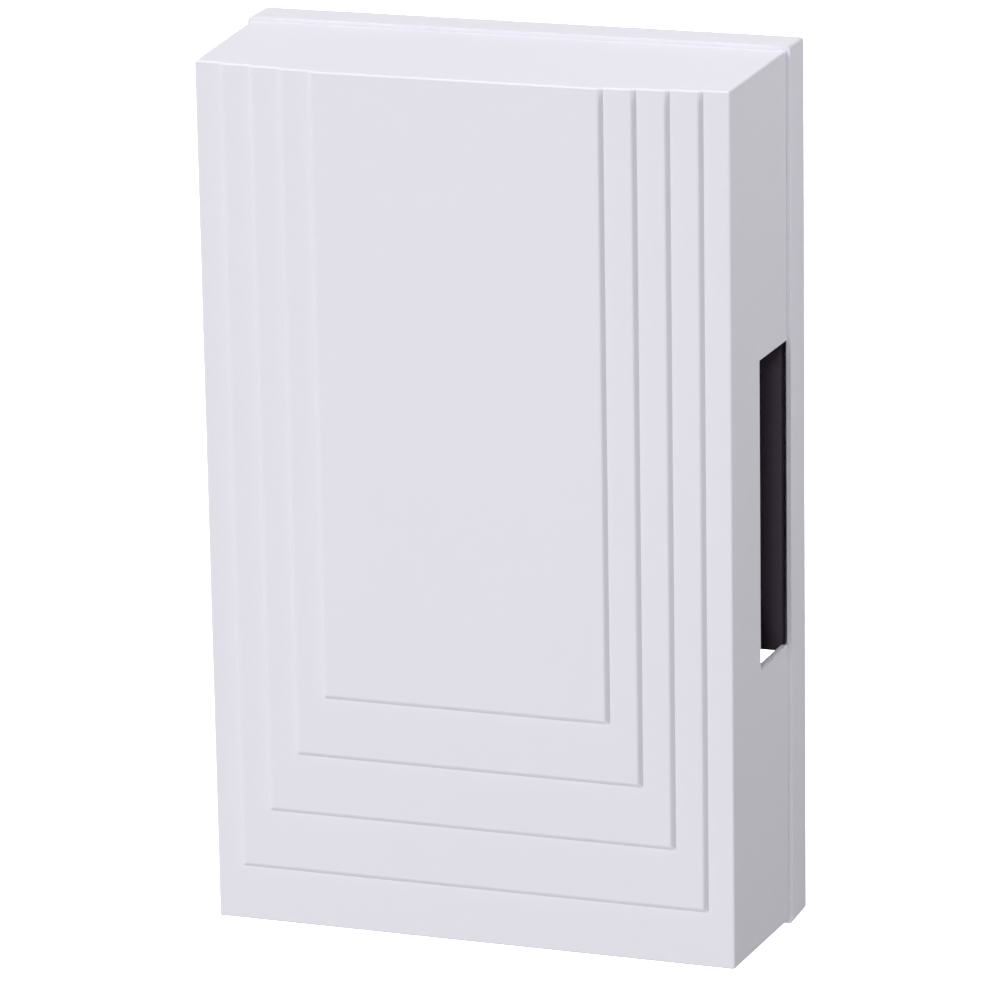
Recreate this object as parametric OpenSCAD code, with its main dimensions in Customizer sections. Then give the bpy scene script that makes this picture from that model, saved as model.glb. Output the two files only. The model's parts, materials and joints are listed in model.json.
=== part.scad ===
// Wired two-note doorbell chime in a wall box.
// A shallow back box carries a dark chassis with a solenoid and two tone bars.
// A push-on cover with a terraced front and open side notches closes it.
// Frame: millimetres, +Z up, +Y into the wall, origin in the middle of the wall face.

/* [Case] */
// Width of the back box at the wall
base_w = 110; // [100:1:140]
// Height of the back box at the wall
base_h = 176; // [164:1:220]
// Depth of the back box's rim, from the wall
base_d = 9.4; // [7.4:0.1:12]
// Depth from the wall to the cover's outermost front strip
case_d = 42; // [39:0.5:60]
// Thickness of the cover's sides and of the rim
wall = 1.6; // [1.2:0.1:2.2]
// Thickness of the back box's floor
floor_t = 2.4; // [1.6:0.1:3]
// Thickness of the cover's front
front_t = 1.8; // [1.2:0.1:2.4]
// Step in from the rim's side to the cover's side
cover_inset = 0.75; // [0.2:0.05:1.2]
// Lean of each cover side, from its rear edge to its front edge
cover_draft = 1.1; // [0.5:0.05:1.8]
// Shadow gap between the rim and the cover's rear edge
parting_gap = 0.2; // [0.1:0.05:0.5]
// Corner radius of the back box
corner_r = 0.8; // [0.4:0.1:1.4]

/* [Terraced front] */
// Number of raised terraces
step_count = 4; // [1:1:5]
// Rise of each terrace
step_rise = 0.75; // [0.3:0.05:1]
// Width of the slope at each terrace's edge
step_slope = 0.85; // [0.3:0.05:1.6]
// Cover's side edge to the middle of the first slope
step_side_margin = 5.55; // [3:0.05:8]
// Sideways distance from slope to slope
step_side_pitch = 6.25; // [4:0.05:8]
// Cover's lower edge to the middle of the first slope
step_foot_margin = 11.5; // [6:0.1:18]
// Upward distance from slope to slope
step_foot_pitch = 12.3; // [8:0.1:18]

/* [Side notches] */
// Height of each sound notch in the cover's sides
slot_h = 61; // [30:1:64]
// Depth of each sound notch, from the rim forwards
slot_d = 16; // [10:0.5:24]
// Depth of the relief in the rim behind each notch
relief_d = 2; // [0.8:0.1:3]
// Thickness of the lip left outside that relief
relief_lip = 1; // [0.6:0.1:1.2]

/* [Wall fixing] */
// Radius of the wall screw holes
wall_hole_r = 2.25; // [1.6:0.05:3]
// Sideways distance between the two lower wall screw holes
wall_hole_pitch = 60; // [40:1:76]
// Height of the lower wall screw holes above the box's lower edge
wall_hole_rise = 20; // [14:1:24]
// Radius of the keyhole's wide end
keyhole_r = 4.6; // [3.6:0.1:6]
// Travel of a screw head in the keyhole
keyhole_len = 7; // [5:0.5:8]
// Drop from the box's top edge to the keyhole's narrow end
keyhole_drop = 9; // [7:0.5:11]
// Width of each cable window in the floor
window_w = 14; // [8:0.5:18]
// Height of each cable window in the floor
window_h = 18; // [10:0.5:20]

/* [Chassis] */
// Thickness of the chassis plate
chassis_t = 2; // [1.4:0.1:2.4]
// Set-back of the chassis from the rim's front edge
chassis_recess = 0.4; // [0.2:0.1:0.8]
// Gap between the chassis and the rim's inside
chassis_gap = 0.4; // [0.2:0.1:1]
// Drop of the chassis foot below the notches' lower edge
chassis_foot_drop = 1.6; // [0.6:0.1:4]
// Drop from the box's top edge to the chassis head
chassis_head_drop = 23; // [21:0.5:26]
// Radius of the bosses that carry the chassis
boss_r = 3.5; // [2.6:0.1:4.5]

/* [Tone bars] */
// Length of the left bar, the low note
bar_l_len = 120; // [100:1:124]
// Length of the right bar, the high note
bar_r_len = 107; // [90:1:118]
// Width of both bars
bar_w = 22; // [16:0.5:23]
// Thickness of both bars
bar_t = 2; // [1.2:0.1:3]
// Box side to a bar's outer face
bar_inset = 14; // [12.5:0.5:16]
// Drop from the box's top edge to the striking line
strike_drop = 68; // [66:1:72]
// Radius of the hole for a rubber grommet
grommet_hole_r = 3.5; // [3:0.1:4.2]
// Radius of a grommet's flanges
grommet_r = 5.5; // [4.8:0.1:6.5]
// Thickness of each grommet flange
grommet_t = 1.2; // [0.8:0.1:1.8]

/* [Solenoid] */
// Length of the bobbin
coil_len = 32; // [26:0.5:36]
// Radius of the bobbin's flanges
flange_r = 14; // [12:0.1:14.6]
// Thickness of the bobbin's flanges
flange_t = 2; // [1.2:0.1:3]
// Outer radius of the copper winding
winding_r = 11.5; // [9:0.1:11.8]
// Thickness of the steel yoke
yoke_t = 1.6; // [1:0.1:2]
// Width of the yoke
yoke_w = 22; // [18:0.5:24]
// Radius of the iron plunger
rod_r = 4; // [3:0.1:4.4]
// Sliding gap around the plunger
rod_gap = 0.15; // [0.08:0.01:0.3]
// Plunger travel from rest to the high note
stroke_ding = 7; // [4:0.5:8]
// Plunger travel from rest back to the low note
stroke_dong = 1.5; // [0.5:0.1:2.5]
// Radius of the striker pins
pin_r = 2.5; // [1.8:0.1:3]
// Length of the left striker pin
pin_l_len = 2.2; // [1.6:0.1:4]
// Length of the right striker pin
pin_r_len = 12; // [8:0.1:14]

/* [Return spring] */
// Wire radius of the return spring
wire_r = 0.35; // [0.2:0.01:0.4]
// Gap between the plunger and the spring's inside
spring_gap = 0.55; // [0.3:0.05:0.8]
// Number of curls
spring_turns = 5; // [3:1:6]

/* [Terminals] */
// Width of the terminal block
term_w = 30; // [26:0.5:40]
// Height of the terminal block
term_h = 11; // [10:0.5:14]
// Depth of the terminal block
term_d = 12; // [9:0.5:16]
// Distance between the two terminals
term_pitch = 17; // [15:0.5:22]
// Drop from the chassis foot to the terminal block
term_drop = 11.4; // [6:0.1:14]

/* [Hidden] */
$fn = 64;

// Amount by which a cut runs past the face that it opens
over = 1;
// Gap between close-fitting pieces of one assembly
fit = 0.05;
// Gap left between a striker and its bar at the end of a stroke
strike_clear = 0.3;

// Case
rim_front = -base_d;
cover_rear = -base_d - parting_gap;
cover_front = -case_d;
cover_depth = case_d - base_d - parting_gap;

// Half width and half height of the cover's outside at depth y
function lean(y) = cover_draft * (y - cover_front) / cover_depth;
function cover_hw(y) = base_w / 2 - cover_inset - cover_draft + lean(y);
function cover_hh(y) = base_h / 2 - cover_inset - cover_draft + lean(y);

// Ledge left inside the cover's top edge, above the hollows behind the terraces
pocket_lip = 1.2;

// Reach of the cut for a side notch, inwards and outwards from the box's side
slot_reach = 10;

// Lugs on the floor that the cover pushes over
lug_len = 14;
lug_t = 1.6;
lug_rise = 5;
lug_gap = 0.45;
lug_x = 25;
lug_side_rise = 26;
lug_side_z = -base_h / 2 + lug_side_rise;

// Chassis plate
chassis_front = rim_front + chassis_recess;
chassis_rear = chassis_front + chassis_t;
chassis_hw = base_w / 2 - wall - chassis_gap;
chassis_foot = -slot_h / 2 - chassis_foot_drop;
chassis_head = base_h / 2 - chassis_head_drop;
chassis_corner_r = 0.6;
boss_inset_x = 8;
boss_inset_z = 7;
boss_places = [for (sx = [-1, 1], z = [chassis_foot + boss_inset_z, chassis_head - boss_inset_z])
    [sx * (chassis_hw - boss_inset_x), z]];

// Self-tapping screws: shank, head and cross recess
screw_r = 1.3;
screw_head_r = 2.9;
screw_head_t = 2;
screw_clear = 0.4;
tip_gap = 1;
pilot_skin = 0.8;
head_crown = 0.75;
recess_reach = 0.55;
recess_w = 0.8;
recess_d = 1;

// Cable windows start just under the chassis foot
window_outer = base_w / 2 - wall - 2.4;
window_top = chassis_foot;

// Tone bars and striking line
strike_z = base_h / 2 - strike_drop;
bar_outer = base_w / 2 - bar_inset;
bar_inner = bar_outer - bar_t;
bar_corner_r = 2;
// A free bar's still points lie this share of its length from each end
still_share = 0.224;
function still_points(len) = [for (s = [-1, 1]) strike_z + s * len * (0.5 - still_share)];
hanger_r = 1.8;
hanger_head_r = 3.6;
hanger_head_t = 2.2;
hanger_gap = 0.2;
post_d = 8;
post_w = 10;
post_wall = 5;
post_face = bar_inner - grommet_t;
hanger_len = post_d - 1;

// Solenoid axis: the bobbin's flanges stand just clear of the yoke
flange_gap = 0.6;
axis_y = chassis_front - yoke_t - flange_gap - flange_r;
tube_wall = 1;
bore_r = rod_r + rod_gap;
ear_x = coil_len / 2 + fit;
ear_out = ear_x + yoke_t;
ear_hole_gap = 0.6;
ear_over = 3;
tab_len = 9;
tab_w = 10;
yoke_screw_places = [for (s = [-1, 1]) [0, strike_z + s * (yoke_w + tab_len) / 2]];

// Plunger: its ends at rest come from the bars, the strokes and the pins
rod_left = -(bar_inner - strike_clear - stroke_dong - pin_l_len);
rod_right = bar_inner - strike_clear - stroke_ding - pin_r_len;
spigot_r = 1.5;
spigot_len = 5;
clip_t = 0.8;
clip_inset = 1.2;
clip_rim = 2.5;
clip_r = rod_r + clip_rim;
groove_depth = 0.8;
clip_x = rod_left + clip_inset;

// Return spring, between the clip and the yoke's left ear
spring_mean_r = rod_r + spring_gap + wire_r;
spring_from = clip_x + clip_t + wire_r + fit;
spring_to = -ear_out - wire_r - fit;
rings_per_turn = 8;
wire_sides = 6;

// Terminal block
term_z = chassis_foot - term_drop - term_h / 2;
term_front = -floor_t - term_d;
cell_w = 8;
cell_h = 8;
cell_depth = 7;
cell_floor = term_front + cell_depth;
clamp_t = 1;
term_screw_r = 1.5;
term_screw_head_r = 3;
term_screw_head_t = 2;
term_screw_len = 4;

// Coil leads: hand-laid points that hang from the winding, lie on the chassis and end under a screw
lead_r = 0.55;
lead_sides = 8;
lead_x = 12;
lead_start = strike_z - winding_r - 0.5;
lead_run = chassis_front - 1;
lead_end = cell_floor - clamp_t - lead_r;
lead_path = [[lead_x, axis_y, lead_start], [lead_x, axis_y, lead_start - 4],
    [lead_x, axis_y + 3, lead_start - 9], [lead_x - 0.4, axis_y + 9, lead_start - 15],
    [lead_x - 0.8, lead_run - 1.8, lead_start - 21], [lead_x - 1.2, lead_run - 0.2, chassis_foot + 13],
    [lead_x - 1.6, lead_run, chassis_foot + 7], [lead_x - 2.2, lead_run, chassis_foot + 1],
    [term_pitch / 2 + 0.5, lead_run - 0.1, chassis_foot - 4], [term_pitch / 2, lead_end, term_z + 8],
    [term_pitch / 2, lead_end, term_z + 2.4]];
lead_notch = 2;
lead_peg = lead_path[5];
lead_peg_r = 0.9;
lead_peg_h = 2.2;
lead_peg_gap = 0.3;

// Extrudes a shape drawn in X and Z from depth y towards the front
module along_y(y, len) {
    translate([0, y, 0]) rotate([90, 0, 0]) linear_extrude(len) children();
}

// Extrudes a shape drawn in Y and Z from x to the right
module along_x(x, len) {
    translate([x, 0, 0]) rotate([90, 0, 90]) linear_extrude(len) children();
}

// A round bar or bore along X on the solenoid axis
module axis_rod(x_from, x_to, r) {
    translate([x_from, axis_y, strike_z]) rotate([0, 90, 0]) cylinder(h = x_to - x_from, r = r);
}

// A round bar or bore along Y, from depth y towards the front
module depth_rod(x, z, y, len, r) {
    translate([x, y, z]) rotate([90, 0, 0]) cylinder(h = len, r = r);
}

module round_rect(w, h, r) {
    square([w - 2 * r, h], center = true);
    square([w, h - 2 * r], center = true);
    for (x = [-1, 1], z = [-1, 1]) translate([x * (w / 2 - r), z * (h / 2 - r)]) circle(r);
}

// A solid between two upright rectangles: [left, right, low, high] at the rear and at the front
module between(y_rear, rear, y_front, front) {
    corners = [[0, 2], [1, 2], [1, 3], [0, 3]];
    polyhedron(
        [for (c = corners) [rear[c[0]], y_rear, rear[c[1]]],
         for (c = corners) [front[c[0]], y_front, front[c[1]]]],
        [[0, 1, 2, 3], [4, 7, 6, 5], [0, 4, 5, 1], [3, 2, 6, 7], [0, 3, 7, 4], [1, 5, 6, 2]]);
}

// A screw along Z with its head's underside at z = 0, and a cross recess
module cross_screw(shank_r, shank_len, head_r, head_t) {
    difference() {
        union() {
            rotate_extrude() polygon([[0, 0], [head_r, 0], [head_r, head_t / 2],
                [head_r * head_crown, head_t], [0, head_t]]);
            translate([0, 0, -shank_len]) cylinder(h = shank_len, r = shank_r);
        }
        for (a = [0, 90])
            rotate([0, 0, a])
                translate([-head_r * recess_reach, -recess_w / 2, head_t - recess_d])
                    cube([2 * head_r * recess_reach, recess_w, recess_d + over]);
    }
}

// The same screw driven in from the front, its head's underside at depth y
module front_screw(x, z, y, shank_r, shank_len, head_r, head_t) {
    translate([x, y, z]) rotate([90, 0, 0]) cross_screw(shank_r, shank_len, head_r, head_t);
}

// Back box: floor, rim with a relief behind each notch, bosses, lugs, cable windows and wall screw holes
module rim_outline(inset) {
    round_rect(base_w - 2 * inset, base_h - 2 * inset, corner_r);
}

// One lug at the right: a blade inside the cover's wall, on a root that is tied to the rim
module lug(cover_half, base_half) {
    x = cover_half - wall - lug_gap - lug_t;
    translate([x, -base_d - lug_rise, -lug_len / 2])
        cube([lug_t, base_d + lug_rise - floor_t / 2, lug_len]);
    translate([x, -base_d, -lug_len / 2])
        cube([base_half - wall / 2 - x, base_d - floor_t / 2, lug_len]);
}

module lug_row() {
    for (sx = [-1, 1], sz = [-1, 1])
        translate([sx * lug_x, 0, 0]) rotate([0, -sz * 90, 0]) lug(cover_hh(cover_rear), base_h / 2);
    for (turn = [0, 180])
        translate([0, 0, lug_side_z]) rotate([0, turn, 0]) lug(cover_hw(cover_rear), base_w / 2);
}

module keyhole() {
    top_z = base_h / 2 - keyhole_drop;
    translate([0, top_z - keyhole_len]) circle(keyhole_r);
    translate([0, top_z]) circle(wall_hole_r);
    translate([-wall_hole_r, top_z - keyhole_len]) square([2 * wall_hole_r, keyhole_len]);
}

module floor_openings() {
    keyhole();
    for (sx = [-1, 1]) {
        translate([sx * wall_hole_pitch / 2, -base_h / 2 + wall_hole_rise]) circle(wall_hole_r);
        translate([sx > 0 ? window_outer - window_w : -window_outer, window_top - window_h])
            square([window_w, window_h]);
    }
}

module base_plate() {
    boss_len = -chassis_rear - floor_t / 2;
    color("whitesmoke") difference() {
        union() {
            along_y(0, floor_t) rim_outline(0);
            along_y(0, base_d) difference() {
                rim_outline(0);
                rim_outline(wall);
            }
            for (p = boss_places) depth_rod(p[0], p[1], -floor_t / 2, boss_len, boss_r);
            lug_row();
        }
        along_y(over, floor_t + 2 * over) floor_openings();
        for (p = boss_places) depth_rod(p[0], p[1], -floor_t, base_d, screw_r + fit);
        depth_rod(0, term_z, -pilot_skin, floor_t, screw_r + fit);
        for (sx = [-1, 1]) {
            x = sx > 0 ? base_w / 2 - wall - over : -base_w / 2 + relief_lip;
            translate([x, rim_front - over, -slot_h / 2])
                cube([wall + over - relief_lip, relief_d + over, slot_h]);
        }
    }
}

// Front cover: a drafted shell, terraced in front, with a notch in each side
module terrace(k) {
    y = cover_front - (k - 1) * step_rise;
    x = cover_hw(cover_front) - step_side_margin - (k - 1) * step_side_pitch;
    z = -cover_hh(cover_front) + step_foot_margin + (k - 1) * step_foot_pitch;
    s = step_slope / 2;
    between(y, [-x - s, x + s, z - s, cover_hh(y)],
        y - step_rise, [-x + s, x - s, z + s, cover_hh(y - step_rise)]);
}

module terrace_pocket(k) {
    y = cover_front + front_t - k * step_rise;
    x = cover_hw(cover_front) - step_side_margin - (k - 1) * step_side_pitch - front_t;
    z = -cover_hh(cover_front) + step_foot_margin + (k - 1) * step_foot_pitch + front_t;
    head = cover_hh(cover_front) - wall - pocket_lip;
    translate([-x, y, z]) cube([2 * x, step_rise + front_t / 2, head - z]);
}

module cover_block(y_rear, y_front, inset) {
    rear = [cover_hw(y_rear) - inset, cover_hh(y_rear) - inset];
    front = [cover_hw(y_front) - inset, cover_hh(y_front) - inset];
    between(y_rear, [-rear[0], rear[0], -rear[1], rear[1]],
        y_front, [-front[0], front[0], -front[1], front[1]]);
}

module front_cover() {
    color("whitesmoke") difference() {
        union() {
            cover_block(cover_rear, cover_front, 0);
            for (k = [1:step_count]) terrace(k);
        }
        cover_block(cover_rear + over, cover_front + front_t, wall);
        for (k = [1:step_count]) terrace_pocket(k);
        for (sx = [-1, 1])
            translate([sx * base_w / 2 - slot_reach, rim_front - slot_d, -slot_h / 2])
                cube([2 * slot_reach, slot_d + over, slot_h]);
    }
}

// Chassis: a dark plate with four posts for the bars and pegs that guide the leads
module hanger_post(side, z) {
    x = side > 0 ? post_face - post_d : -post_face;
    post_len = chassis_front - axis_y + post_wall;
    rib_x = side > 0 ? post_face - 2 * post_d : -post_face + post_d;
    difference() {
        union() {
            translate([x, chassis_front - post_len, z - post_w / 2])
                cube([post_d, post_len + chassis_t / 2, post_w]);
            translate([rib_x, chassis_front - post_len / 2, z - chassis_t / 2])
                cube([post_d, post_len / 2 + chassis_t / 2, chassis_t]);
        }
        translate([side * (post_face + over), axis_y, z]) rotate([0, -side * 90, 0])
            cylinder(h = hanger_len + over, r = hanger_r + fit);
    }
}

module lead_pegs() {
    guide = lead_r + lead_peg_gap + lead_peg_r;
    for (sx = [-1, 1], s = [-1, 1])
        depth_rod(sx * lead_peg[0] + s * guide, lead_peg[2], chassis_front + chassis_t / 2,
            chassis_t / 2 + lead_peg_h, lead_peg_r);
}

module chassis() {
    chassis_h = chassis_head - chassis_foot;
    color([0.09, 0.08, 0.1]) difference() {
        union() {
            along_y(chassis_rear, chassis_t) translate([0, chassis_foot + chassis_h / 2])
                round_rect(2 * chassis_hw, chassis_h, chassis_corner_r);
            for (z = still_points(bar_l_len)) hanger_post(-1, z);
            for (z = still_points(bar_r_len)) hanger_post(1, z);
            lead_pegs();
        }
        for (p = boss_places)
            depth_rod(p[0], p[1], chassis_rear + over, chassis_t + 2 * over, screw_r + screw_clear);
        for (p = yoke_screw_places)
            depth_rod(p[0], p[1], chassis_rear + over, chassis_t + 2 * over, screw_r + fit);
    }
}

module chassis_screws() {
    shank_len = -chassis_front - floor_t - tip_gap;
    color("silver")
        for (p = boss_places)
            front_screw(p[0], p[1], chassis_front, screw_r, shank_len, screw_head_r, screw_head_t);
}

// Tone bars on rubber grommets, each hung on two shouldered screws
module tone_bar(side, len) {
    color([0.5, 0.52, 0.55]) along_x(side > 0 ? bar_inner : -bar_outer, bar_t)
        translate([axis_y, 0]) difference() {
            translate([0, strike_z]) round_rect(bar_w, len, bar_corner_r);
            for (z = still_points(len)) translate([0, z]) circle(grommet_hole_r);
        }
}

module grommets(side, len) {
    waist = grommet_hole_r - fit;
    bore = hanger_r + hanger_gap;
    color([0.1, 0.1, 0.1]) for (z = still_points(len))
        translate([side * (bar_inner - grommet_t), axis_y, z]) rotate([0, side * 90, 0])
            rotate_extrude() polygon([[bore, 0], [grommet_r, 0], [grommet_r, grommet_t], [waist, grommet_t],
                [waist, grommet_t + bar_t], [grommet_r, grommet_t + bar_t],
                [grommet_r, 2 * grommet_t + bar_t], [bore, 2 * grommet_t + bar_t]]);
}

module hanger_screws(side, len) {
    stack = 2 * grommet_t + bar_t;
    color("silver") for (z = still_points(len))
        translate([side * (post_face + stack), axis_y, z]) rotate([0, side * 90, 0])
            cross_screw(hanger_r, stack + hanger_len - tip_gap, hanger_head_r, hanger_head_t);
}

module tone_bar_left() { tone_bar(-1, bar_l_len); }
module tone_bar_right() { tone_bar(1, bar_r_len); }
module grommets_left() { grommets(-1, bar_l_len); }
module grommets_right() { grommets(1, bar_r_len); }
module hanger_screws_left() { hanger_screws(-1, bar_l_len); }
module hanger_screws_right() { hanger_screws(1, bar_r_len); }

// Solenoid: a folded steel yoke round a bobbin and its copper winding
module yoke() {
    ear_front = axis_y - rod_r - ear_over;
    color([0.62, 0.63, 0.66]) difference() {
        union() {
            translate([-ear_out, chassis_front - yoke_t, strike_z - yoke_w / 2])
                cube([2 * ear_out, yoke_t, yoke_w]);
            for (sx = [-1, 1])
                translate([sx > 0 ? ear_x : -ear_out, ear_front, strike_z - yoke_w / 2])
                    cube([yoke_t, chassis_front - ear_front, yoke_w]);
            translate([-tab_w / 2, chassis_front - yoke_t, strike_z - yoke_w / 2 - tab_len])
                cube([tab_w, yoke_t, yoke_w + 2 * tab_len]);
        }
        axis_rod(-ear_out - over, ear_out + over, rod_r + ear_hole_gap);
        for (p = yoke_screw_places)
            depth_rod(p[0], p[1], chassis_front + over, yoke_t + 2 * over, screw_r + screw_clear);
    }
}

module yoke_screws() {
    shank_len = yoke_t + chassis_t + tip_gap;
    color("silver")
        for (p = yoke_screw_places)
            front_screw(p[0], p[1], chassis_front - yoke_t, screw_r, shank_len, screw_head_r, screw_head_t);
}

module bobbin() {
    color("ivory") difference() {
        union() {
            axis_rod(-coil_len / 2, coil_len / 2, bore_r + tube_wall);
            for (sx = [-1, 1]) axis_rod(sx > 0 ? coil_len / 2 - flange_t : -coil_len / 2,
                sx > 0 ? coil_len / 2 : -coil_len / 2 + flange_t, flange_r);
        }
        axis_rod(-coil_len / 2 - over, coil_len / 2 + over, bore_r);
    }
}

module winding() {
    half = coil_len / 2 - flange_t - fit;
    color([0.72, 0.4, 0.2]) difference() {
        axis_rod(-half, half, winding_r);
        axis_rod(-half - over, half + over, bore_r + tube_wall + fit);
    }
}

// Plunger: an iron rod with a nylon striker pin in each end and a spring clip in its groove
module plunger() {
    color([0.55, 0.55, 0.58]) difference() {
        axis_rod(rod_left, rod_right, rod_r);
        difference() {
            axis_rod(clip_x - fit, clip_x + clip_t + fit, rod_r + over);
            axis_rod(clip_x - over, clip_x + clip_t + over, rod_r - groove_depth);
        }
        axis_rod(rod_left - over, rod_left + spigot_len + fit, spigot_r + fit);
        axis_rod(rod_right - spigot_len - fit, rod_right + over, spigot_r + fit);
    }
}

// A pin along Z: spigot below z = 0, domed tip above
module striker_pin(len) {
    dome = pin_r / 2;
    rotate_extrude() polygon([[0, -spigot_len], [spigot_r, -spigot_len], [spigot_r, 0], [pin_r, 0],
        for (a = [0:15:90]) [pin_r * cos(a), len - dome + dome * sin(a)]]);
}

module striker_pin_left() {
    color("ivory") translate([rod_left, axis_y, strike_z]) rotate([0, -90, 0]) striker_pin(pin_l_len);
}

module striker_pin_right() {
    color("ivory")
        translate([rod_right, axis_y, strike_z]) rotate([0, 90, 0]) striker_pin(pin_r_len);
}

module spring_clip() {
    inner = rod_r - groove_depth + fit;
    color("silver") difference() {
        axis_rod(clip_x, clip_x + clip_t, clip_r);
        axis_rod(clip_x - over, clip_x + clip_t + over, inner);
        translate([clip_x - over, axis_y - clip_r - over, strike_z - inner])
            cube([clip_t + 2 * over, clip_r + over, 2 * inner]);
    }
}

// Return spring: one helix of round wire
spring_rings = rings_per_turn * spring_turns;
spring_points = [for (i = [0:spring_rings])
    let (x = spring_from + (spring_to - spring_from) * i / spring_rings, a = 360 * i / rings_per_turn)
        [x, axis_y + spring_mean_r * cos(a), strike_z + spring_mean_r * sin(a)]];

// Least gap between stretches of wire that lie half a turn or more apart
spring_self_gap = min([for (i = [0:spring_rings], j = [i + rings_per_turn / 2:1:spring_rings])
    norm(spring_points[j] - spring_points[i])]) - 2 * wire_r;
echo(spring_self_gap_mm = spring_self_gap);

function unit(v) = v / norm(v);

// Direction of a path at point i
function path_dir(p, i) = unit(p[min(i + 1, len(p) - 1)] - p[max(i - 1, 0)]);

// A closed tube of round section that follows the points of a path; up is never along the path
module sweep_tube(p, r, sides, up) {
    n = len(p);
    ring = [for (i = [0:n - 1]) let (d = path_dir(p, i), u = unit(cross(d, up)), v = cross(d, u))
        for (k = [0:sides - 1]) let (a = 360 * k / sides) p[i] + r * (u * cos(a) + v * sin(a))];
    skin = [for (i = [0:n - 2], k = [0:sides - 1])
        let (a = i * sides + k, b = i * sides + (k + 1) % sides)
            each [[a, b, b + sides], [a, b + sides, a + sides]]];
    caps = [for (k = [1:sides - 2]) each [[0, k + 1, k], (n - 1) * sides * [1, 1, 1] + [0, k, k + 1]]];
    polyhedron(ring, concat(skin, caps));
}

module return_spring() {
    color("silver") sweep_tube(spring_points, wire_r, wire_sides, [1, 0, 0]);
}

// Terminal block with two open cells, each with a brass clamp and a screw
module terminal_block() {
    color("gainsboro") difference() {
        translate([-term_w / 2, term_front, term_z - term_h / 2]) cube([term_w, term_d, term_h]);
        for (sx = [-1, 1]) {
            x = sx * term_pitch / 2;
            translate([x - cell_w / 2, term_front - over, term_z - cell_h / 2])
                cube([cell_w, cell_depth + over, cell_h]);
            translate([x - lead_notch / 2, term_front - over, term_z - term_h])
                cube([lead_notch, cell_depth + over, 2 * term_h]);
            depth_rod(x, term_z, cell_floor + term_screw_len, term_screw_len + over, term_screw_r + fit);
        }
        depth_rod(0, term_z, over - floor_t, term_d + 2 * over, screw_r + screw_clear);
        depth_rod(0, term_z, cell_floor, cell_depth + over, screw_head_r + screw_clear);
    }
}

module terminal_fixing_screw() {
    shank_len = -cell_floor - pilot_skin - fit;
    color("silver") front_screw(0, term_z, cell_floor, screw_r, shank_len, screw_head_r, screw_head_t);
}

module terminal_clamps() {
    color([0.8, 0.66, 0.36]) for (sx = [-1, 1]) difference() {
        translate([sx * term_pitch / 2 - cell_w / 2 + fit, cell_floor - clamp_t, term_z - cell_h / 2 + fit])
            cube([cell_w - 2 * fit, clamp_t, cell_h - 2 * fit]);
        depth_rod(sx * term_pitch / 2, term_z, cell_floor + over, clamp_t + 2 * over, term_screw_r + fit);
    }
}

module terminal_screws() {
    lift = 2 * lead_r + fit;
    color([0.8, 0.66, 0.36]) for (sx = [-1, 1])
        front_screw(sx * term_pitch / 2, term_z, cell_floor - clamp_t - lift, term_screw_r,
            clamp_t + lift + term_screw_len - tip_gap, term_screw_head_r, term_screw_head_t);
}

// Leads from the winding to the terminals
module coil_lead_right() {
    color("linen") sweep_tube(lead_path, lead_r, lead_sides, [1, 0, 0]);
}

module coil_lead_left() {
    color("linen") sweep_tube([for (p = lead_path) [-p[0], p[1], p[2]]], lead_r, lead_sides, [1, 0, 0]);
}

base_plate();
front_cover();
chassis();
chassis_screws();
tone_bar_left();
tone_bar_right();
grommets_left();
grommets_right();
hanger_screws_left();
hanger_screws_right();
yoke();
yoke_screws();
bobbin();
winding();
plunger();
striker_pin_left();
striker_pin_right();
spring_clip();
return_spring();
terminal_block();
terminal_fixing_screw();
terminal_clamps();
terminal_screws();
coil_lead_left();
coil_lead_right();
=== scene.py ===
import json
import math

import bmesh
import bpy
from mathutils import Matrix, Vector

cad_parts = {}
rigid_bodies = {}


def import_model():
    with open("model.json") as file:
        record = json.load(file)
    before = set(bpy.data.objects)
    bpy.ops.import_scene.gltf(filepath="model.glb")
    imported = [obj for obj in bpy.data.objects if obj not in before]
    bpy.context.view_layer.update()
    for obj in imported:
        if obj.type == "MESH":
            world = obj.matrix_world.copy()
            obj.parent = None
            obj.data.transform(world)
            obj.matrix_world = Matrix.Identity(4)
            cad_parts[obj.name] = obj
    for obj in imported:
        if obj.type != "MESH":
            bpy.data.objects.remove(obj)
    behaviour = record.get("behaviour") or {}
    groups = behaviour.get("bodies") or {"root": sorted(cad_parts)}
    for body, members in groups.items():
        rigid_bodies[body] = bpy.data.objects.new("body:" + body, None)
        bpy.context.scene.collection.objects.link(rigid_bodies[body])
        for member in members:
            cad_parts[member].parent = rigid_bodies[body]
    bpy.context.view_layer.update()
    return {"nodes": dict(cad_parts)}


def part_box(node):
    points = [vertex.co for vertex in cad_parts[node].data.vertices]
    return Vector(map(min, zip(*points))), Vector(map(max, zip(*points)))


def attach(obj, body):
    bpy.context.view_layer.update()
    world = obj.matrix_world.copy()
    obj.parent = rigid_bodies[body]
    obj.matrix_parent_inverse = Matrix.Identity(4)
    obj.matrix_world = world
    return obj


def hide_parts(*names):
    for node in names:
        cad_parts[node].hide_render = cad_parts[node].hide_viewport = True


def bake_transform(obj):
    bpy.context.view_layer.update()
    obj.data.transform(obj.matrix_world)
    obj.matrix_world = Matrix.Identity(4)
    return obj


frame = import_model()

# Back box: the white tray that screws to the wall. Its floor, low rim, hollow bosses, cover lugs
# and cable windows are one ABS moulding with a fine spark-eroded skin and small corner radii.

MM = 0.001


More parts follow.
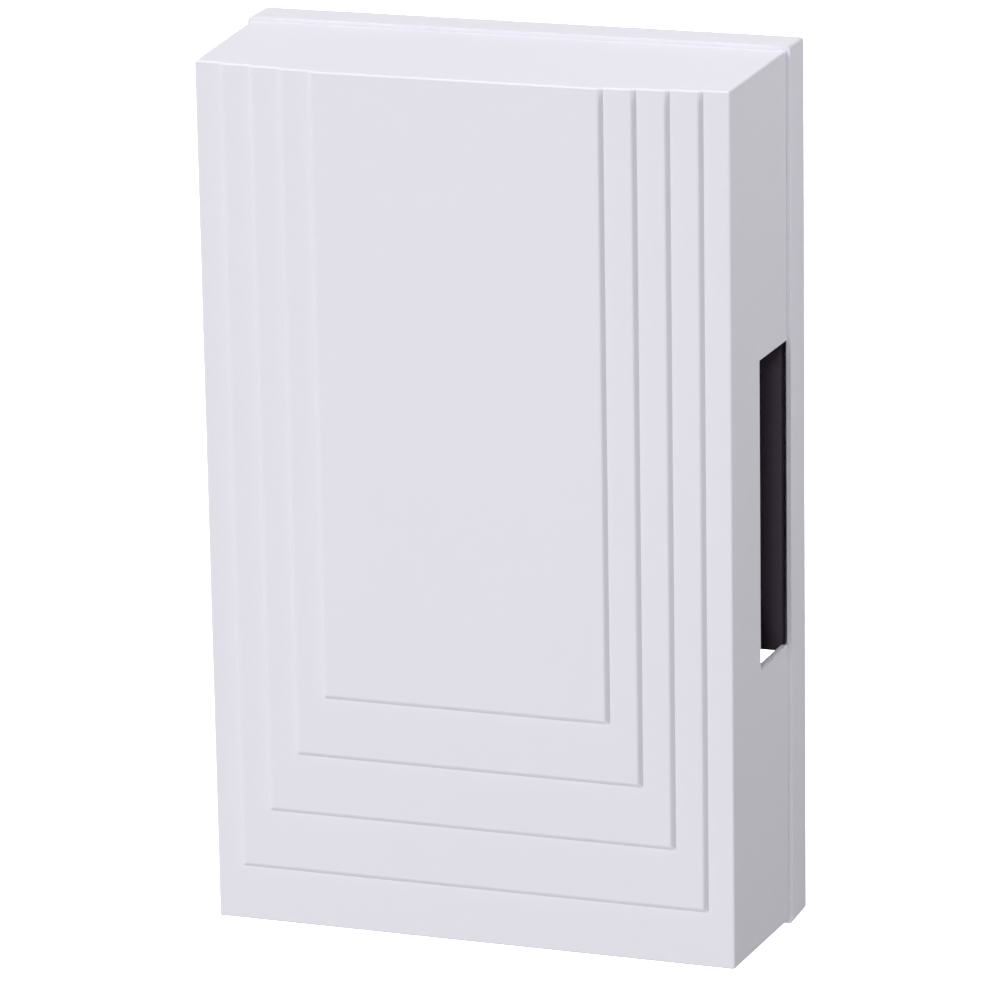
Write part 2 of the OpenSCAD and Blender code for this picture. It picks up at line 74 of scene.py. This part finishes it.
class Value:
    """A node's output that takes part in Python arithmetic by adding Math nodes."""

    def __init__(self, tree, socket):
        self.tree = tree
        self.socket = socket

    def math(self, operation, other, swapped=False):
        node = self.tree.nodes.new("ShaderNodeMath")
        node.operation = operation
        for slot, term in zip(node.inputs, (other, self) if swapped else (self, other)):
            if isinstance(term, Value):
                self.tree.links.new(term.socket, slot)
            else:
                slot.default_value = term
        return Value(self.tree, node.outputs[0])

    def __add__(self, other):
        return self.math("ADD", other)

    def __radd__(self, other):
        return self.math("ADD", other, swapped=True)

    def __mul__(self, other):
        return self.math("MULTIPLY", other)

    def __rmul__(self, other):
        return self.math("MULTIPLY", other, swapped=True)


class Nodes:
    """A node tree that is built node by node."""

    def __init__(self, tree):
        self.tree = tree

    def node(self, kind, output=0, settings=None, **sockets):
        """Adds a node. A socket goes by its name, or by its number after a _ where names repeat."""
        node = self.tree.nodes.new(kind)
        for key, value in (settings or {}).items():
            setattr(node, key, value)
        for key, value in sockets.items():
            slot = node.inputs[int(key[1:]) if key[0] == "_" else key.replace("_", " ")]
            if isinstance(value, Value):
                self.tree.links.new(value.socket, slot)
            else:
                slot.default_value = value
        return Value(self.tree, node.outputs[output])


class Finish(Nodes):
    """A procedural material: a Principled shader and the nodes that feed it, in object coordinates."""

    def __init__(self, name, **constants):
        self.material = bpy.data.materials.new(name)
        self.material.use_nodes = True
        super().__init__(self.material.node_tree)
        self.shader = self.tree.nodes["Principled BSDF"]
        for socket, value in constants.items():
            self.shader.inputs[socket.replace("_", " ")].default_value = value
        self.place = self.node("ShaderNodeTexCoord", "Object")

    def noise(self, scale, detail, stretch=(1, 1, 1)):
        """Specks, about scale of them to the metre, drawn out along an axis where stretch is small."""
        place = self.node("ShaderNodeMapping", Vector=self.place, Scale=stretch)
        return self.node("ShaderNodeTexNoise", Vector=place, Scale=scale, Detail=detail)

    def blend(self, factor, first, second):
        return self.node("ShaderNodeMix", 2, {"data_type": "RGBA"},
                         Factor=factor, _6=first, _7=second)

    def feed(self, socket, value):
        self.tree.links.new(value.socket, self.shader.inputs[socket])

    def bump(self, height, depth):
        self.feed("Normal", self.node("ShaderNodeBump", Height=height, Distance=depth, Strength=1.0))


def added(name, data):
    """A new object in the scene."""
    item = bpy.data.objects.new(name, data)
    bpy.context.scene.collection.objects.link(item)
    return item


def cast(shape, name):
    """The mesh of a finished bmesh."""
    mesh = bpy.data.meshes.new(name)
    shape.to_mesh(mesh)
    shape.free()
    return mesh


def plain_mesh(item):
    """What an object looks like with its modifiers on, as a new mesh."""
    bpy.context.view_layer.update()
    depsgraph = bpy.context.evaluated_depsgraph_get()
    return bpy.data.meshes.new_from_object(item.evaluated_get(depsgraph))


def settled(piece):
    """Turns a piece's modifiers into plain mesh."""
    result = plain_mesh(piece)
    piece.modifiers.clear()
    piece.data = result
    return piece


def smoothed(mesh, crease):
    """Shades a mesh smooth, apart from edges that turn by more than crease degrees."""
    mesh.shade_smooth()
    mesh.set_sharp_from_angle(angle=math.radians(crease))


def softened(node, name, edge, fine=None, keen_y=None):
    """A merged copy of a CAD solid with its square edges rounded by edge, shallow folds by fine.

    Edges in the plane keen_y, where a moulding meets its neighbour, only lose their burr.
    """
    same_point, in_plane, burr = 0.002 * MM, 0.05 * MM, 0.1 * MM
    flat, fold, square = math.radians(0.4), math.radians(25), math.radians(60)
    most_of_face = 0.35
    shape = bmesh.new()
    shape.from_mesh(frame["nodes"][node].data)
    bmesh.ops.remove_doubles(shape, verts=shape.verts, dist=same_point)
    bmesh.ops.dissolve_limit(shape, angle_limit=flat, verts=shape.verts, edges=shape.edges)
    weight = shape.edges.layers.float.new("bevel_weight_edge")
    for line in shape.edges:
        if line.is_convex and line.calc_face_angle() > fold:
            wanted = edge if line.calc_face_angle() > square else fine or edge
            if keen_y is not None and all(abs(end.co.y - keen_y) < in_plane for end in line.verts):
                wanted = burr
            face_width = min(face.calc_area() for face in line.link_faces) / line.calc_length()
            line[weight] = min(wanted, most_of_face * face_width) / edge
    mesh = cast(shape, name)
    for spare in ("custom_normal", "sharp_edge", "sharp_face"):
        if spare in mesh.attributes:
            mesh.attributes.remove(mesh.attributes[spare])
    piece = added(name, mesh)
    rounding = piece.modifiers.new("rounding", "BEVEL")
    rounding.limit_method = "WEIGHT"
    rounding.width = edge
    rounding.segments = 3
    rounding.use_clamp_overlap = False
    settled(piece)
    smoothed(piece.data, 35)
    shading = piece.modifiers.new("shading", "WEIGHTED_NORMAL")
    shading.keep_sharp = True
    return settled(piece)


def fitted(piece, finish, body, slot, *nodes):
    """Gives a piece its finish and its place among the CAD bodies."""
    piece.data.materials.clear()
    piece.data.materials.append(finish.material)
    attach(piece, body)
    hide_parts(*nodes)
    return piece


white_abs = Finish("white_abs", IOR=1.5)
white_skin = white_abs.noise(2600, 3)
white_cloud = white_abs.noise(16, 2)
white_abs.feed("Base Color", white_abs.blend(white_cloud, (0.776, 0.767, 0.835, 1),
                                             (0.797, 0.788, 0.852, 1)))
white_abs.feed("Roughness", 0.5 + 0.1 * white_skin)
white_abs.bump(white_skin, 0.012 * MM)

cover_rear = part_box("front_cover")[1].y
parting_gap = 0.2 * MM
rim_front = cover_rear + parting_gap
fitted(softened("base_plate", "back_box", edge=0.25 * MM, keen_y=rim_front),
       white_abs, "box", "case_white", "base_plate")

# Chassis: the dark plate that carries the works, moulded in black ABS with a matt leather-grain skin.
# It stands on the back box's bosses and closes the sound notches from behind.

black_abs = Finish("black_abs", IOR=1.5)
black_grain = black_abs.noise(1500, 4)
black_cloud = black_abs.noise(40, 2)
black_abs.feed("Base Color", black_abs.blend(black_cloud, (0.052, 0.036, 0.059, 1),
                                             (0.067, 0.047, 0.075, 1)))
black_abs.feed("Roughness", 0.5 + 0.2 * black_grain)
black_abs.bump(black_grain, 0.03 * MM)

fitted(softened("chassis", "chassis_plate", edge=0.3 * MM),
       black_abs, "box", "chassis_black", "chassis")

# Screws: zinc-plated cross-head screws that hold the chassis, the yoke, the terminal block and the
# tone bars. Each kind is one turned head and shank, set at its holes by a node tree.

zinc = Finish("zinc_plate", Metallic=1.0)
zinc_bloom = zinc.noise(420, 3)
zinc.feed("Base Color", zinc.blend(zinc_bloom, (0.50, 0.51, 0.53, 1), (0.68, 0.69, 0.70, 1)))
zinc.feed("Roughness", 0.22 + 0.2 * zinc_bloom)
zinc.bump(zinc.noise(2400, 2), 0.006 * MM)


def turned(profile, steps=40):
    """A solid turned about Z from (radius, height) points that end on the axis or form a ring."""
    same_point = 1e-7
    shape = bmesh.new()
    rings = []
    for radius, height in profile:
        angles = [2 * math.pi * k / steps for k in range(steps)] if radius else [0]
        rings.append([shape.verts.new((radius * math.cos(a), radius * math.sin(a), height))
                      for a in angles])
    for low, high in zip(rings, rings[1:]):
        for k in range(steps):
            corners = [ring[step % len(ring)]
                       for ring, step in ((low, k), (low, k + 1), (high, k + 1), (high, k))]
            shape.faces.new(list(dict.fromkeys(corners)))
    bmesh.ops.remove_doubles(shape, verts=shape.verts, dist=same_point)
    bmesh.ops.recalc_face_normals(shape, faces=shape.faces)
    return cast(shape, "turned")


def screw(head_r, head_t, shank_r, shank_len):
    """A domed cross-head screw along Z: the head's underside is at the origin, the shank below it."""
    crown_steps = 8
    skirt_t = 0.42 * head_t
    tip_r, tip_len = 0.6 * shank_r, 0.5 * shank_r
    under_r, under_t = 0.96 * head_r, 0.06 * head_t
    cross_len, cross_width, cross_depth = 1.12 * head_r, 0.27 * head_r, 0.55 * head_t
    crown = [(head_r * math.cos(a), skirt_t + (head_t - skirt_t) * math.sin(a))
             for a in (math.pi / 2 * k / crown_steps for k in range(crown_steps))]
    tip = [(0, -shank_len), (tip_r, -shank_len), (shank_r, -shank_len + tip_len)]
    body = added("screw_body", turned(
        tip + [(shank_r, 0), (under_r, 0), (head_r, under_t)] + crown + [(0, head_t)]))
    cross = bmesh.new()
    for turn in (0, math.pi / 2):
        bmesh.ops.create_cube(cross, size=1, matrix=(
            Matrix.Rotation(turn, 4, "Z") @ Matrix.Translation((0, 0, head_t))
            @ Matrix.Diagonal((cross_len, cross_width, 2 * cross_depth, 1))))
    cutter = added("screw_cross", cast(cross, "screw_cross"))
    cut = body.modifiers.new("cross", "BOOLEAN")
    cut.object = cutter
    cut.operation = "DIFFERENCE"
    cut.use_self = True
    settled(body)
    bpy.data.objects.remove(cutter)
    smoothed(body.data, 35)
    return body


class Maker(Nodes):
    """A geometry node tree with named inputs for its sizes."""

    def __init__(self, name, **inputs):
        super().__init__(bpy.data.node_groups.new(name, "GeometryNodeTree"))
        new_socket = self.tree.interface.new_socket
        new_socket("Geometry", in_out="INPUT", socket_type="NodeSocketGeometry")
        self.ids = {key: new_socket(key, in_out="INPUT", socket_type=kind).identifier
                    for key, kind in inputs.items()}
        new_socket("Geometry", in_out="OUTPUT", socket_type="NodeSocketGeometry")
        self.start = self.tree.nodes.new("NodeGroupInput")

    def given(self, name):
        return Value(self.tree, self.start.outputs[name])

    def finish(self, shape, material):
        shape = self.node("GeometryNodeRealizeInstances", Geometry=shape)
        shape = self.node("GeometryNodeSetMaterial", Geometry=shape, Material=material)
        self.tree.links.new(shape.socket, self.tree.nodes.new("NodeGroupOutput").inputs[0])

    def run(self, name, mesh, **values):
        piece = added(name, mesh)
        maker = piece.modifiers.new("maker", "NODES")
        maker.node_group = self.tree
        for key, value in values.items():
            maker[self.ids[key]] = value
        return settled(piece)


set_screws = Maker("set_screws", Screw="NodeSocketObject", Turn="NodeSocketVector")
one_screw = set_screws.node("GeometryNodeObjectInfo", 4, Object=set_screws.given("Screw"))
placed = set_screws.node("GeometryNodeInstanceOnPoints", Points=set_screws.given("Geometry"),
                         Instance=one_screw, Rotation=set_screws.given("Turn"))
any_turn = set_screws.node("FunctionNodeRandomValue", 0, {"data_type": "FLOAT_VECTOR"},
                           Min=(0, 0, 0), Max=(0, 0, math.pi), Seed=0)
set_screws.finish(set_screws.node("GeometryNodeRotateInstances", Instances=placed,
                                  Rotation=any_turn, Local_Space=True), zinc.material)


def screw_set(node, name, size, facing, finish, slot):
    """Screws of one size at the corners of a CAD node's box, with their heads towards facing."""
    head_r, head_t, shank_r = size
    low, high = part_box(node)
    axis = max(range(3), key=lambda k: abs(facing[k]))
    head_low = facing[axis] < 0
    seat = low[axis] + head_t if head_low else high[axis] - head_t
    kind = screw(head_r, head_t, shank_r, high[axis] - seat if head_low else seat - low[axis])
    places = [Vector()]
    for k in range(3):
        spots = [low[k] + head_r, high[k] - head_r] if k != axis else [seat]
        if spots[-1] - spots[0] < head_r:
            spots = spots[:1]
        moves = [Vector([spot if n == k else 0 for n in range(3)]) for spot in spots]
        places = [place + move for place in places for move in moves]
    points = bpy.data.meshes.new(name)
    points.from_pydata(places, [], [])
    turn = Vector(facing).to_track_quat("Z", "Y").to_euler()
    piece = set_screws.run(name, points, Screw=kind, Turn=tuple(turn))
    bpy.data.objects.remove(kind)
    return fitted(piece, finish, "box", slot, node)


# Sizes are head radius, head height and shank radius.
small_screw = (2.9 * MM, 2 * MM, 1.3 * MM)
hanger_screw = (3.6 * MM, 2.2 * MM, 1.8 * MM)
to_front = (0, -1, 0)
for held in ("chassis", "yoke"):
    screw_set(held + "_screws", held + "_screw_set", small_screw, to_front, zinc, "screw_zinc")
screw_set("terminal_fixing_screw", "block_screw_set", small_screw, to_front, zinc, "screw_zinc")
for side, sign in (("left", -1), ("right", 1)):
    screw_set("hanger_screws_" + side, "hanger_screw_set_" + side, hanger_screw, (sign, 0, 0),
              zinc, "screw_zinc")

# Tone bars: flat strips of ground steel, the long one for the low note. Each hangs at its two still
# points so that it can ring, and shows the lengthwise lines of its grinding under a thin zinc plate.

tone_steel = Finish("tone_steel", Metallic=1.0)
grind = tone_steel.noise(900, 4, (1, 1, 0.015))
stain = tone_steel.noise(55, 3)
tone_steel.feed("Base Color", tone_steel.blend(stain, (0.44, 0.46, 0.49, 1), (0.58, 0.59, 0.60, 1)))
tone_steel.feed("Roughness", 0.2 + 0.22 * grind)
tone_steel.bump(grind, 0.012 * MM)

for side in ("left", "right"):
    fitted(softened("tone_bar_" + side, "bar_" + side, edge=0.25 * MM),
           tone_steel, "box", "tone_steel", "tone_bar_" + side)

# Grommets: soft black rubber rings, squeezed between bar and post, so that the bar hangs without
# touching the chassis. They are moulded with full round flanges.

rubber = Finish("soft_rubber", IOR=1.45)
rubber_skin = rubber.noise(1800, 3)
rubber.feed("Base Color", rubber.blend(rubber_skin, (0.012, 0.012, 0.013, 1),
                                       (0.026, 0.026, 0.027, 1)))
rubber.feed("Roughness", 0.62 + 0.25 * rubber_skin)
rubber.bump(rubber_skin, 0.02 * MM)

for side in ("left", "right"):
    fitted(softened("grommets_" + side, "grommet_pair_" + side, edge=0.4 * MM),
           rubber, "box", "grommet_rubber", "grommets_" + side)

# Yoke: a strip of zinc-plated steel folded into a U round the coil, screwed to the chassis by a tab
# at each edge. It closes the magnet's path, and the plunger passes through a hole in each ear.

yoke_zinc = Finish("yoke_zinc", Metallic=1.0)
spangle = yoke_zinc.node("ShaderNodeTexVoronoi", 0, {"feature": "SMOOTH_F1"},
                         Vector=yoke_zinc.place, Scale=520.0)
rolled = yoke_zinc.noise(700, 3, (0.05, 1, 1))
yoke_zinc.feed("Base Color", yoke_zinc.blend(spangle, (0.52, 0.52, 0.49, 1), (0.66, 0.66, 0.64, 1)))
yoke_zinc.feed("Roughness", 0.28 + 0.2 * rolled)
yoke_zinc.bump(rolled, 0.012 * MM)

fitted(softened("yoke", "yoke_strip", edge=0.3 * MM), yoke_zinc, "box", "yoke_steel", "yoke")

# Bobbin: the coil's spool, moulded in natural nylon, slightly waxy and off-white.
# It sits between the yoke's ears, and the plunger runs in its bore.

nylon = Finish("natural_nylon", IOR=1.53)
nylon_cloud = nylon.noise(140, 3)
nylon_skin = nylon.noise(2200, 2)
nylon.feed("Base Color", nylon.blend(nylon_cloud, (0.66, 0.61, 0.49, 1), (0.74, 0.70, 0.58, 1)))
nylon.feed("Roughness", 0.36 + 0.16 * nylon_skin)
nylon.bump(nylon_skin, 0.01 * MM)

fitted(softened("bobbin", "bobbin_spool", edge=0.35 * MM), nylon, "box", "nylon", "bobbin")

# Winding: enamelled copper wire in many layers. The outer layer is wound turn by turn over a plain
# core, and the clear enamel gives it a warm gloss.

copper = Finish("enamelled_copper", Metallic=0.9, Coat_Weight=0.5, Coat_Roughness=0.12)
copper_tone = copper.noise(600, 2, (1, 0.2, 0.2))
copper.feed("Base Color", copper.blend(copper_tone, (0.36, 0.105, 0.030, 1), (0.58, 0.215, 0.075, 1)))
copper.feed("Roughness", 0.22 + 0.18 * copper_tone)

wind = Maker("wound_wire", Turns="NodeSocketFloat", Radius="NodeSocketFloat",
             Length="NodeSocketFloat", Wire="NodeSocketFloat", Place="NodeSocketVector",
             Turn="NodeSocketVector")
helix = wind.node("GeometryNodeCurveSpiral", Resolution=32, Rotations=wind.given("Turns"),
                  Start_Radius=wind.given("Radius"), End_Radius=wind.given("Radius"),
                  Height=wind.given("Length"))
section = wind.node("GeometryNodeCurvePrimitiveCircle", Resolution=8, Radius=wind.given("Wire"))
wire_tube = wind.node("GeometryNodeCurveToMesh", Curve=helix, Profile_Curve=section, Fill_Caps=True)
wire_tube = wind.node("GeometryNodeTransform", Geometry=wire_tube, Translation=wind.given("Place"),
                      Rotation=wind.given("Turn"))
wire_and_core = wind.tree.nodes.new("GeometryNodeJoinGeometry")
for part in (wire_tube, wind.given("Geometry")):
    wind.tree.links.new(part.socket, wire_and_core.inputs[0])
wind.finish(Value(wind.tree, wire_and_core.outputs[0]), copper.material)

coil_low, coil_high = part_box("winding")
coil_middle = (coil_low + coil_high) / 2
coil_r = (coil_high.z - coil_low.z) / 2
coil_half = (coil_high.x - coil_low.x) / 2
wire_r = 0.225 * MM
core_r = coil_r - 0.4 * MM
bore_r = 5.2 * MM
core = turned([(bore_r, -coil_half), (core_r, -coil_half), (core_r, coil_half), (bore_r, coil_half),
               (bore_r, -coil_half)])
core.transform(Matrix.Translation(coil_middle) @ Matrix.Rotation(math.pi / 2, 4, "Y"))
wound_len = 2 * coil_half - 2 * wire_r
winding = wind.run("copper_winding", core, Turns=float(int(wound_len / (2 * wire_r))),
                   Radius=coil_r - wire_r, Length=wound_len, Wire=wire_r,
                   Place=coil_middle - Vector((coil_half - wire_r, 0, 0)), Turn=(0, math.pi / 2, 0))
smoothed(winding.data, 50)
fitted(winding, copper, "box", "copper", "winding")

# Plunger: a turned soft iron rod that the coil pulls to the right. Fine tool rings run round it.
# A groove near its left end holds the spring clip.

iron = Finish("turned_iron", Metallic=1.0)
tool_rings = iron.noise(1500, 3, (1, 0.02, 0.02))
iron.feed("Base Color", iron.blend(iron.noise(90, 2), (0.36, 0.36, 0.37, 1), (0.50, 0.50, 0.51, 1)))
iron.feed("Roughness", 0.22 + 0.2 * tool_rings)
iron.bump(tool_rings, 0.01 * MM)

fitted(softened("plunger", "plunger_rod", edge=0.3 * MM),
       iron, "plunger", "plunger_iron", "plunger")

# Striker pins: nylon pins pressed into the plunger's ends.
# Their domed tips soften the blow on the bars.

for side in ("left", "right"):
    fitted(softened("striker_pin_" + side, "pin_" + side, edge=0.25 * MM, fine=0.1 * MM),
           nylon, "plunger", "nylon", "striker_pin_" + side)

# Spring clip and return spring: hardened steel. The clip snaps into the plunger's groove, and the
# spring sits between it and the yoke's left ear, so that it throws the plunger back to the left bar.

spring_steel = Finish("spring_steel", Metallic=1.0)
drawn = spring_steel.noise(1200, 2)
spring_steel.feed("Base Color", spring_steel.blend(drawn, (0.40, 0.40, 0.42, 1), (0.56, 0.56, 0.58, 1)))
spring_steel.feed("Roughness", 0.2 + 0.15 * drawn)

fitted(softened("spring_clip", "clip", edge=0.15 * MM),
       spring_steel, "plunger", "spring_steel", "spring_clip")

spring_low, spring_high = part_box("return_spring")
spring_wire = 0.35 * MM
spring_r = 4.9 * MM
spring = wind.run("coil_spring", bpy.data.meshes.new("spring_seat"), Turns=5.0, Radius=spring_r,
                  Length=spring_high.x - spring_low.x - 2 * spring_wire, Wire=spring_wire,
                  Place=(spring_low.x + spring_wire, coil_middle.y, coil_middle.z),
                  Turn=(math.pi / 2, 0, math.pi / 2))
smoothed(spring.data, 60)
spring.data.materials.clear()
spring.data.materials.append(spring_steel.material)
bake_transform(spring)
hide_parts("return_spring")

# Terminals: a pale grey moulded block with two open cells. Each cell has a brass plate and a brass
# screw that traps the coil's lead and the bell wire.

pale_grey = Finish("grey_moulding", IOR=1.5)
grey_skin = pale_grey.noise(2000, 3)
grey_cloud = pale_grey.noise(120, 2)
pale_grey.feed("Base Color", pale_grey.blend(grey_cloud, (0.44, 0.44, 0.42, 1), (0.50, 0.50, 0.48, 1)))
pale_grey.feed("Roughness", 0.4 + 0.2 * grey_skin)
pale_grey.bump(grey_skin, 0.015 * MM)

brass = Finish("plain_brass", Metallic=1.0)
tarnish = brass.noise(320, 3)
brass.feed("Base Color", brass.blend(tarnish, (0.46, 0.30, 0.10, 1), (0.70, 0.50, 0.20, 1)))
brass.feed("Roughness", 0.2 + 0.24 * tarnish)
brass.bump(brass.noise(1600, 2), 0.008 * MM)

fitted(softened("terminal_block", "block", edge=0.3 * MM),
       pale_grey, "box", "terminal_grey", "terminal_block")
fitted(softened("terminal_clamps", "clamp_pair", edge=0.15 * MM),
       brass, "box", "terminal_brass", "terminal_clamps")
clamp_screw = (3 * MM, 2 * MM, 1.5 * MM)
screw_set("terminal_screws", "clamp_screw_set", clamp_screw, to_front, brass, "terminal_brass")

# Coil leads: two short sleeved wires that hang from the winding, run down the chassis between its
# pegs and end under the terminal screws.

sleeve = Finish("wire_sleeve", IOR=1.5)
sleeve_tone = sleeve.noise(500, 2)
sleeve.feed("Base Color", sleeve.blend(sleeve_tone, (0.50, 0.42, 0.27, 1), (0.58, 0.50, 0.34, 1)))
sleeve.feed("Roughness", 0.38 + 0.2 * sleeve_tone)

lead_r = 0.55 * MM
lead_points = [(12, -25.2, 8), (12, -25.2, 4), (12, -22.2, -1), (11.6, -16.2, -7), (11.2, -11.8, -13),
               (10.8, -10.2, -19.1), (10.4, -10, -25.1), (9.8, -10, -31.1), (9, -10.1, -36.1),
               (8.5, -8.95, -41), (8.5, -8.95, -46.6)]
for side, sign in (("left", -1), ("right", 1)):
    route = bpy.data.curves.new("lead_route_" + side, "CURVE")
    route.dimensions = "3D"
    route.bevel_depth = lead_r
    route.bevel_resolution = 4
    route.use_fill_caps = True
    route.resolution_u = 8
    line = route.splines.new("BEZIER")
    line.bezier_points.add(len(lead_points) - 1)
    for knot, (x, y, z) in zip(line.bezier_points, lead_points):
        knot.co = (sign * x * MM, y * MM, z * MM)
        knot.handle_left_type = knot.handle_right_type = "AUTO"
    drawn_lead = added("lead_route_" + side, route)
    lead_mesh = plain_mesh(drawn_lead)
    bpy.data.objects.remove(drawn_lead)
    welded = bmesh.new()
    welded.from_mesh(lead_mesh)
    bmesh.ops.remove_doubles(welded, verts=welded.verts, dist=0.001 * MM)
    welded.to_mesh(lead_mesh)
    welded.free()
    smoothed(lead_mesh, 50)
    fitted(added("lead_" + side, lead_mesh), sleeve, "box", "lead_pvc", "coil_lead_" + side)

# Front cover: the white ABS shell that pushes over the back box's lugs. Four shallow terraces step
# forward on its front and run out through the top edge. A tall notch in each side lets the sound out.

fitted(softened("front_cover", "cover_shell", edge=0.42 * MM, fine=0.28 * MM, keen_y=cover_rear),
       white_abs, "cover", "case_white", "front_cover")

# Studio: a plain white floor well below the box in a white tent that only the camera sees, a large
# soft key from the upper left, weak fills, a strip beside the box, and a long lens at the
# photograph's angle.

scene = bpy.context.scene
scene.view_settings.view_transform = "Standard"

paper = Finish("floor_paper", Roughness=0.9, IOR=1.3)
paper.feed("Base Color", paper.blend(paper.noise(3, 2), (0.86, 0.86, 0.865, 1), (0.88, 0.88, 0.885, 1)))
floor_z = -0.55
floor_half = 9
floor_mesh = bpy.data.meshes.new("floor")
floor_mesh.from_pydata([(x * floor_half, y * floor_half, floor_z)
                        for x, y in ((-1, -1), (1, -1), (1, 1), (-1, 1))], [], [(0, 1, 2, 3)])
floor_mesh.materials.append(paper.material)
floor = added("floor", floor_mesh)

tent_cloth = Finish("tent_cloth", Roughness=0.9, Emission_Strength=1.0)
tent_cloth.material.cycles.emission_sampling = "NONE"
tent_cloth.feed("Emission Color", tent_cloth.blend(tent_cloth.noise(3, 2), (1, 1, 1, 1),
                                                   (1.04, 1.04, 1.04, 1)))
tent_r = 8.5
above_floor = 0.01
dome = bmesh.new()
bmesh.ops.create_uvsphere(dome, u_segments=64, v_segments=32, radius=tent_r)
for point in dome.verts:
    point.co.z = max(point.co.z, floor_z + above_floor)
tent = added("tent", cast(dome, "tent"))
tent.data.materials.append(tent_cloth.material)
tent.visible_diffuse = tent.visible_glossy = tent.visible_transmission = tent.visible_shadow = False

scene.world = bpy.data.worlds.new("studio")
scene.world.use_nodes = True
sky = scene.world.node_tree.nodes["Background"]
sky.inputs["Color"].default_value = (1, 1, 1, 1)
sky.inputs["Strength"].default_value = 0.05


def soft_light(name, place, aim, size, watts, width=None):
    """A softbox that faces aim and stays out of every picture: round, or a strip of some width."""
    lamp = bpy.data.lights.new(name, "AREA")
    lamp.shape = "ELLIPSE"
    lamp.size = width or size
    lamp.size_y = size
    lamp.energy = watts
    holder = added(name, lamp)
    facing = (Vector(place) - Vector(aim)).to_track_quat("Z", "Y")
    holder.matrix_world = Matrix.Translation(place) @ facing.to_matrix().to_4x4()
    holder.visible_camera = False


box_middle = (0, 0, 0)
soft_light("key", (-2.345, -3.476, 2.724), box_middle, size=2.5, watts=147.5)
soft_light("front_fill", (0.565, -2.912, 1.198), box_middle, size=0.53, watts=26.5)
soft_light("top_fill", (-0.24, 0.10, 0.80), box_middle, size=0.4, watts=3.14)
soft_light("side_strip", (0.51, 0.04, 0.32), box_middle, size=0.25, watts=1.35, width=0.04)
soft_light("floor_wash", (-0.75, 2.35, 0.15), (-0.75, 2.35, floor_z), size=2.0, watts=46)

lens = bpy.data.cameras.new("lens")
lens.sensor_width = 36
lens.lens = 225.1
lens.clip_start = 0.05
lens.clip_end = 50
eye = Vector((0.387217, -1.119645, 0.336118))
aim = Vector((-0.006302, -0.004509, -0.007442))
roll = math.radians(-0.95521)
back = (eye - aim).normalized()
right = Vector((-back.y, back.x, 0)).normalized()
up = back.cross(right)
across = math.cos(roll) * right + math.sin(roll) * up
upward = math.cos(roll) * up - math.sin(roll) * right
camera = added("camera", lens)
camera.matrix_world = Matrix.Translation(eye) @ Matrix((across, upward, back)).transposed().to_4x4()
scene.camera = camera
